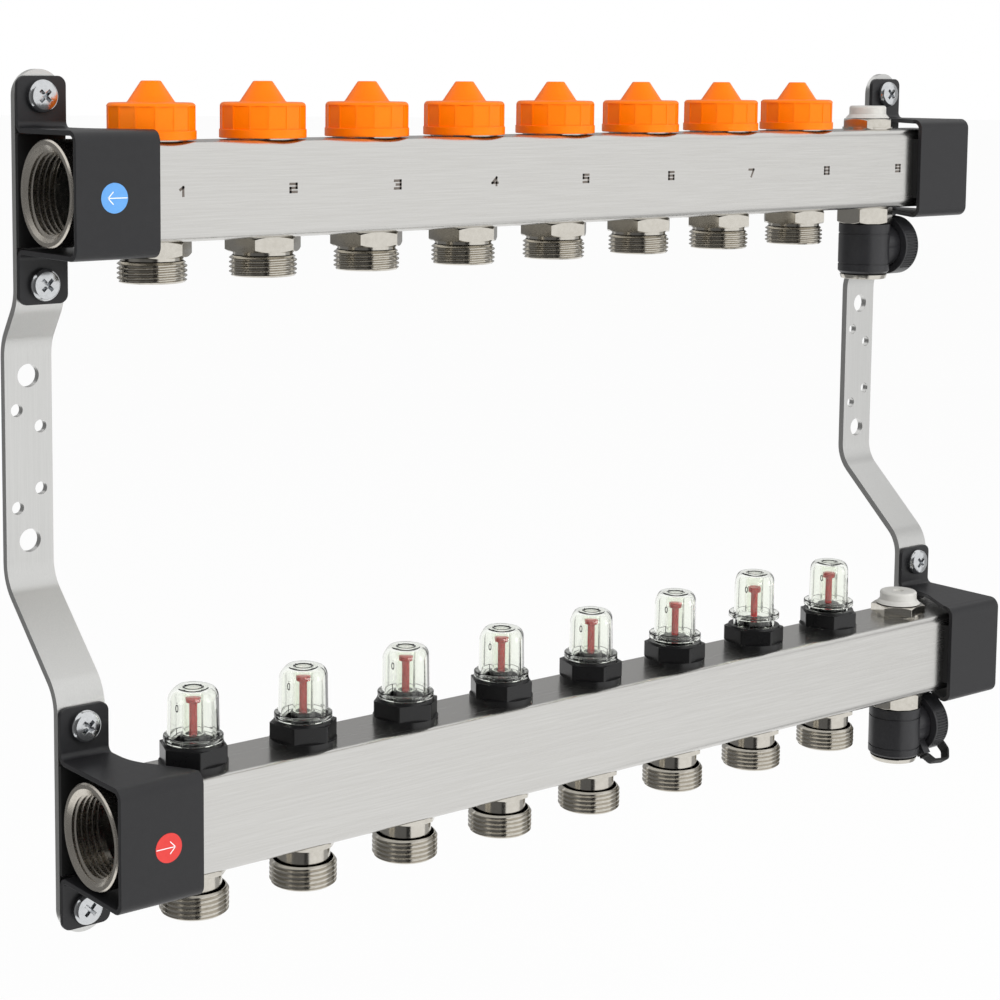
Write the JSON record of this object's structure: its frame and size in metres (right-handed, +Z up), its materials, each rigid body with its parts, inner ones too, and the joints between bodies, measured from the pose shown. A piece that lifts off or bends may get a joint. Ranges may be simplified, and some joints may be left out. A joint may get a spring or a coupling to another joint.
{
  "type": "heating manifold",
  "caption": "Underfloor heating manifold: two square steel beams on a cranked wall bracket, with shut-off caps above, flow meters below, and a vent and drain at the right",
  "frame": {"origin": "centre of the four wall screw holes, on the wall", "axes": "+X along the beams to the right as seen from the room, -Y out of the wall towards the room, +Z up"},
  "size_m": [0.4926, 0.0867, 0.3345],
  "materials": {
    "beam_steel": "satin stainless steel",
    "sleeve_steel": "turned stainless steel",
    "bar_zinc": "zinc plated, dull",
    "clamp_black": "black powder coat",
    "pad_rubber": "matt black rubber",
    "screw_zinc": "zinc plated, bright",
    "outlet_steel": "nickel plated",
    "supply_outlet_nickel": "nickel plated",
    "insert_brass": "nickel plated",
    "nut_black": "black moulded plastic",
    "vent_nickel": "nickel plated",
    "adaptor_nickel": "nickel plated",
    "cap_orange": "moulded, slight gloss",
    "spindle_steel": "stainless steel",
    "dome_clear": "clear moulded plastic",
    "flag_red": "red moulded plastic",
    "knob_white": "white moulded plastic",
    "drain_black": "black moulded plastic",
    "strap_black": "black elastomer"
  },
  "bodies": {
    "manifold": {"clamp_screws": "screw_zinc", "drain_adaptors": "adaptor_nickel", "end_sleeves": "sleeve_steel", "left_wall_bar": "bar_zinc", "lower_beam": "beam_steel", "lower_left_clamp": "clamp_black", "lower_right_clamp": "clamp_black", "meter_nuts": "nut_black", "return_outlets": "outlet_steel", "right_wall_bar": "bar_zinc", "rubber_pads": "pad_rubber", "supply_outlets": "supply_outlet_nickel", "upper_beam": "beam_steel", "upper_left_clamp": "clamp_black", "upper_right_clamp": "clamp_black", "valve_inserts": "insert_brass", "vent_bodies": "vent_nickel"},
    "indicator_1": {"flow_indicator_1": "flag_red"},
    "indicator_2": {"flow_indicator_2": "flag_red"},
    "indicator_3": {"flow_indicator_3": "flag_red"},
    "indicator_4": {"flow_indicator_4": "flag_red"},
    "indicator_5": {"flow_indicator_5": "flag_red"},
    "indicator_6": {"flow_indicator_6": "flag_red"},
    "indicator_7": {"flow_indicator_7": "flag_red"},
    "indicator_8": {"flow_indicator_8": "flag_red"},
    "cap_1": {"hand_cap_1": "cap_orange"},
    "cap_2": {"hand_cap_2": "cap_orange"},
    "cap_3": {"hand_cap_3": "cap_orange"},
    "cap_4": {"hand_cap_4": "cap_orange"},
    "cap_5": {"hand_cap_5": "cap_orange"},
    "cap_6": {"hand_cap_6": "cap_orange"},
    "cap_7": {"hand_cap_7": "cap_orange"},
    "cap_8": {"hand_cap_8": "cap_orange"},
    "lower_drain": {"lower_drain_body": "drain_black", "lower_drain_strap": "strap_black"},
    "lower_cap": {"lower_hose_cap": "drain_black"},
    "lower_vent": {"lower_vent_knob": "knob_white"},
    "dome_1": {"meter_dome_1": "dome_clear"},
    "dome_2": {"meter_dome_2": "dome_clear"},
    "dome_3": {"meter_dome_3": "dome_clear"},
    "dome_4": {"meter_dome_4": "dome_clear"},
    "dome_5": {"meter_dome_5": "dome_clear"},
    "dome_6": {"meter_dome_6": "dome_clear"},
    "dome_7": {"meter_dome_7": "dome_clear"},
    "dome_8": {"meter_dome_8": "dome_clear"},
    "upper_drain": {"upper_drain_body": "drain_black", "upper_drain_strap": "strap_black"},
    "upper_cap": {"upper_hose_cap": "drain_black"},
    "upper_vent": {"upper_vent_knob": "knob_white"},
    "spindle_1": {"valve_spindle_1": "spindle_steel"},
    "spindle_2": {"valve_spindle_2": "spindle_steel"},
    "spindle_3": {"valve_spindle_3": "spindle_steel"},
    "spindle_4": {"valve_spindle_4": "spindle_steel"},
    "spindle_5": {"valve_spindle_5": "spindle_steel"},
    "spindle_6": {"valve_spindle_6": "spindle_steel"},
    "spindle_7": {"valve_spindle_7": "spindle_steel"},
    "spindle_8": {"valve_spindle_8": "spindle_steel"}
  },
  "joints": [
    {"name": "spindle_1_lift", "type": "slide", "parent": "manifold", "child": "spindle_1", "axis": [0, 0, 1], "range_m": [0, 0.00375]},
    {"name": "cap_1_turn", "type": "hinge", "parent": "spindle_1", "child": "cap_1", "pos_m": [-0.202, -0.0372, 0.121], "axis": [0, 0, 1], "range_deg": [0, 900]},
    {"name": "dome_1_turn", "type": "hinge", "parent": "manifold", "child": "dome_1", "pos_m": [-0.202, -0.0647, -0.1111], "axis": [0, 0, 1], "range_deg": [0, 720]},
    {"name": "indicator_1_slide", "type": "slide", "parent": "manifold", "child": "indicator_1", "axis": [0, 0, 1], "range_m": [-0.0115, 0], "stiffness_N_per_m": 10, "springref_m": 0.003},
    {"name": "spindle_2_lift", "type": "slide", "parent": "manifold", "child": "spindle_2", "axis": [0, 0, 1], "range_m": [0, 0.00375]},
    {"name": "cap_2_turn", "type": "hinge", "parent": "spindle_2", "child": "cap_2", "pos_m": [-0.152, -0.0372, 0.121], "axis": [0, 0, 1], "range_deg": [0, 900]},
    {"name": "dome_2_turn", "type": "hinge", "parent": "manifold", "child": "dome_2", "pos_m": [-0.152, -0.0647, -0.1111], "axis": [0, 0, 1], "range_deg": [0, 720]},
    {"name": "indicator_2_slide", "type": "slide", "parent": "manifold", "child": "indicator_2", "axis": [0, 0, 1], "range_m": [-0.0115, 0], "stiffness_N_per_m": 10, "springref_m": 0.003},
    {"name": "spindle_3_lift", "type": "slide", "parent": "manifold", "child": "spindle_3", "axis": [0, 0, 1], "range_m": [0, 0.00375]},
    {"name": "cap_3_turn", "type": "hinge", "parent": "spindle_3", "child": "cap_3", "pos_m": [-0.102, -0.0372, 0.121], "axis": [0, 0, 1], "range_deg": [0, 900]},
    {"name": "dome_3_turn", "type": "hinge", "parent": "manifold", "child": "dome_3", "pos_m": [-0.102, -0.0647, -0.1111], "axis": [0, 0, 1], "range_deg": [0, 720]},
    {"name": "indicator_3_slide", "type": "slide", "parent": "manifold", "child": "indicator_3", "axis": [0, 0, 1], "range_m": [-0.0115, 0], "stiffness_N_per_m": 10, "springref_m": 0.003},
    {"name": "spindle_4_lift", "type": "slide", "parent": "manifold", "child": "spindle_4", "axis": [0, 0, 1], "range_m": [0, 0.00375]},
    {"name": "cap_4_turn", "type": "hinge", "parent": "spindle_4", "child": "cap_4", "pos_m": [-0.052, -0.0372, 0.121], "axis": [0, 0, 1], "range_deg": [0, 900]},
    {"name": "dome_4_turn", "type": "hinge", "parent": "manifold", "child": "dome_4", "pos_m": [-0.052, -0.0647, -0.1111], "axis": [0, 0, 1], "range_deg": [0, 720]},
    {"name": "indicator_4_slide", "type": "slide", "parent": "manifold", "child": "indicator_4", "axis": [0, 0, 1], "range_m": [-0.0115, 0], "stiffness_N_per_m": 10, "springref_m": 0.003},
    {"name": "spindle_5_lift", "type": "slide", "parent": "manifold", "child": "spindle_5", "axis": [0, 0, 1], "range_m": [0, 0.00375]},
    {"name": "cap_5_turn", "type": "hinge", "parent": "spindle_5", "child": "cap_5", "pos_m": [-0.002, -0.0372, 0.121], "axis": [0, 0, 1], "range_deg": [0, 900]},
    {"name": "dome_5_turn", "type": "hinge", "parent": "manifold", "child": "dome_5", "pos_m": [-0.002, -0.0647, -0.1111], "axis": [0, 0, 1], "range_deg": [0, 720]},
    {"name": "indicator_5_slide", "type": "slide", "parent": "manifold", "child": "indicator_5", "axis": [0, 0, 1], "range_m": [-0.0115, 0], "stiffness_N_per_m": 10, "springref_m": 0.003},
    {"name": "spindle_6_lift", "type": "slide", "parent": "manifold", "child": "spindle_6", "axis": [0, 0, 1], "range_m": [0, 0.00375]},
    {"name": "cap_6_turn", "type": "hinge", "parent": "spindle_6", "child": "cap_6", "pos_m": [0.048, -0.0372, 0.121], "axis": [0, 0, 1], "range_deg": [0, 900]},
    {"name": "dome_6_turn", "type": "hinge", "parent": "manifold", "child": "dome_6", "pos_m": [0.048, -0.0647, -0.1111], "axis": [0, 0, 1], "range_deg": [0, 720]},
    {"name": "indicator_6_slide", "type": "slide", "parent": "manifold", "child": "indicator_6", "axis": [0, 0, 1], "range_m": [-0.0115, 0], "stiffness_N_per_m": 10, "springref_m": 0.003},
    {"name": "spindle_7_lift", "type": "slide", "parent": "manifold", "child": "spindle_7", "axis": [0, 0, 1], "range_m": [0, 0.00375]},
    {"name": "cap_7_turn", "type": "hinge", "parent": "spindle_7", "child": "cap_7", "pos_m": [0.098, -0.0372, 0.121], "axis": [0, 0, 1], "range_deg": [0, 900]},
    {"name": "dome_7_turn", "type": "hinge", "parent": "manifold", "child": "dome_7", "pos_m": [0.098, -0.0647, -0.1111], "axis": [0, 0, 1], "range_deg": [0, 720]},
    {"name": "indicator_7_slide", "type": "slide", "parent": "manifold", "child": "indicator_7", "axis": [0, 0, 1], "range_m": [-0.0115, 0], "stiffness_N_per_m": 10, "springref_m": 0.003},
    {"name": "spindle_8_lift", "type": "slide", "parent": "manifold", "child": "spindle_8", "axis": [0, 0, 1], "range_m": [0, 0.00375]},
    {"name": "cap_8_turn", "type": "hinge", "parent": "spindle_8", "child": "cap_8", "pos_m": [0.148, -0.0372, 0.121], "axis": [0, 0, 1], "range_deg": [0, 900]},
    {"name": "dome_8_turn", "type": "hinge", "parent": "manifold", "child": "dome_8", "pos_m": [0.148, -0.0647, -0.1111], "axis": [0, 0, 1], "range_deg": [0, 720]},
    {"name": "indicator_8_slide", "type": "slide", "parent": "manifold", "child": "indicator_8", "axis": [0, 0, 1], "range_m": [-0.0115, 0], "stiffness_N_per_m": 10, "springref_m": 0.003},
    {"name": "upper_vent_turn", "type": "hinge", "parent": "manifold", "child": "upper_vent", "pos_m": [0.198, -0.0372, 0.121], "axis": [0, 0, 1], "range_deg": [0, 360]},
    {"name": "upper_drain_swivel", "type": "hinge", "parent": "manifold", "child": "upper_drain", "pos_m": [0.198, -0.0372, 0.084], "axis": [0, 0, 1], "continuous": true},
    {"name": "upper_cap_turn", "type": "hinge", "parent": "upper_drain", "child": "upper_cap", "pos_m": [0.2122, -0.0372, 0.0646], "axis": [1, 0, 0], "range_deg": [0, 1080]},
    {"name": "lower_vent_turn", "type": "hinge", "parent": "manifold", "child": "lower_vent", "pos_m": [0.198, -0.0647, -0.1111], "axis": [0, 0, 1], "range_deg": [0, 360]},
    {"name": "lower_drain_swivel", "type": "hinge", "parent": "manifold", "child": "lower_drain", "pos_m": [0.198, -0.0647, -0.1481], "axis": [0, 0, 1], "continuous": true},
    {"name": "lower_cap_turn", "type": "hinge", "parent": "lower_drain", "child": "lower_cap", "pos_m": [0.2122, -0.0647, -0.1675], "axis": [1, 0, 0], "range_deg": [0, 1080]}
  ],
  "couplings": [
    {"joint": "cap_1_turn", "follows": "spindle_1_lift", "rad_per_m": 4188.8},
    {"joint": "cap_2_turn", "follows": "spindle_2_lift", "rad_per_m": 4188.8},
    {"joint": "cap_3_turn", "follows": "spindle_3_lift", "rad_per_m": 4188.8},
    {"joint": "cap_4_turn", "follows": "spindle_4_lift", "rad_per_m": 4188.8},
    {"joint": "cap_5_turn", "follows": "spindle_5_lift", "rad_per_m": 4188.8},
    {"joint": "cap_6_turn", "follows": "spindle_6_lift", "rad_per_m": 4188.8},
    {"joint": "cap_7_turn", "follows": "spindle_7_lift", "rad_per_m": 4188.8},
    {"joint": "cap_8_turn", "follows": "spindle_8_lift", "rad_per_m": 4188.8}
  ]
}
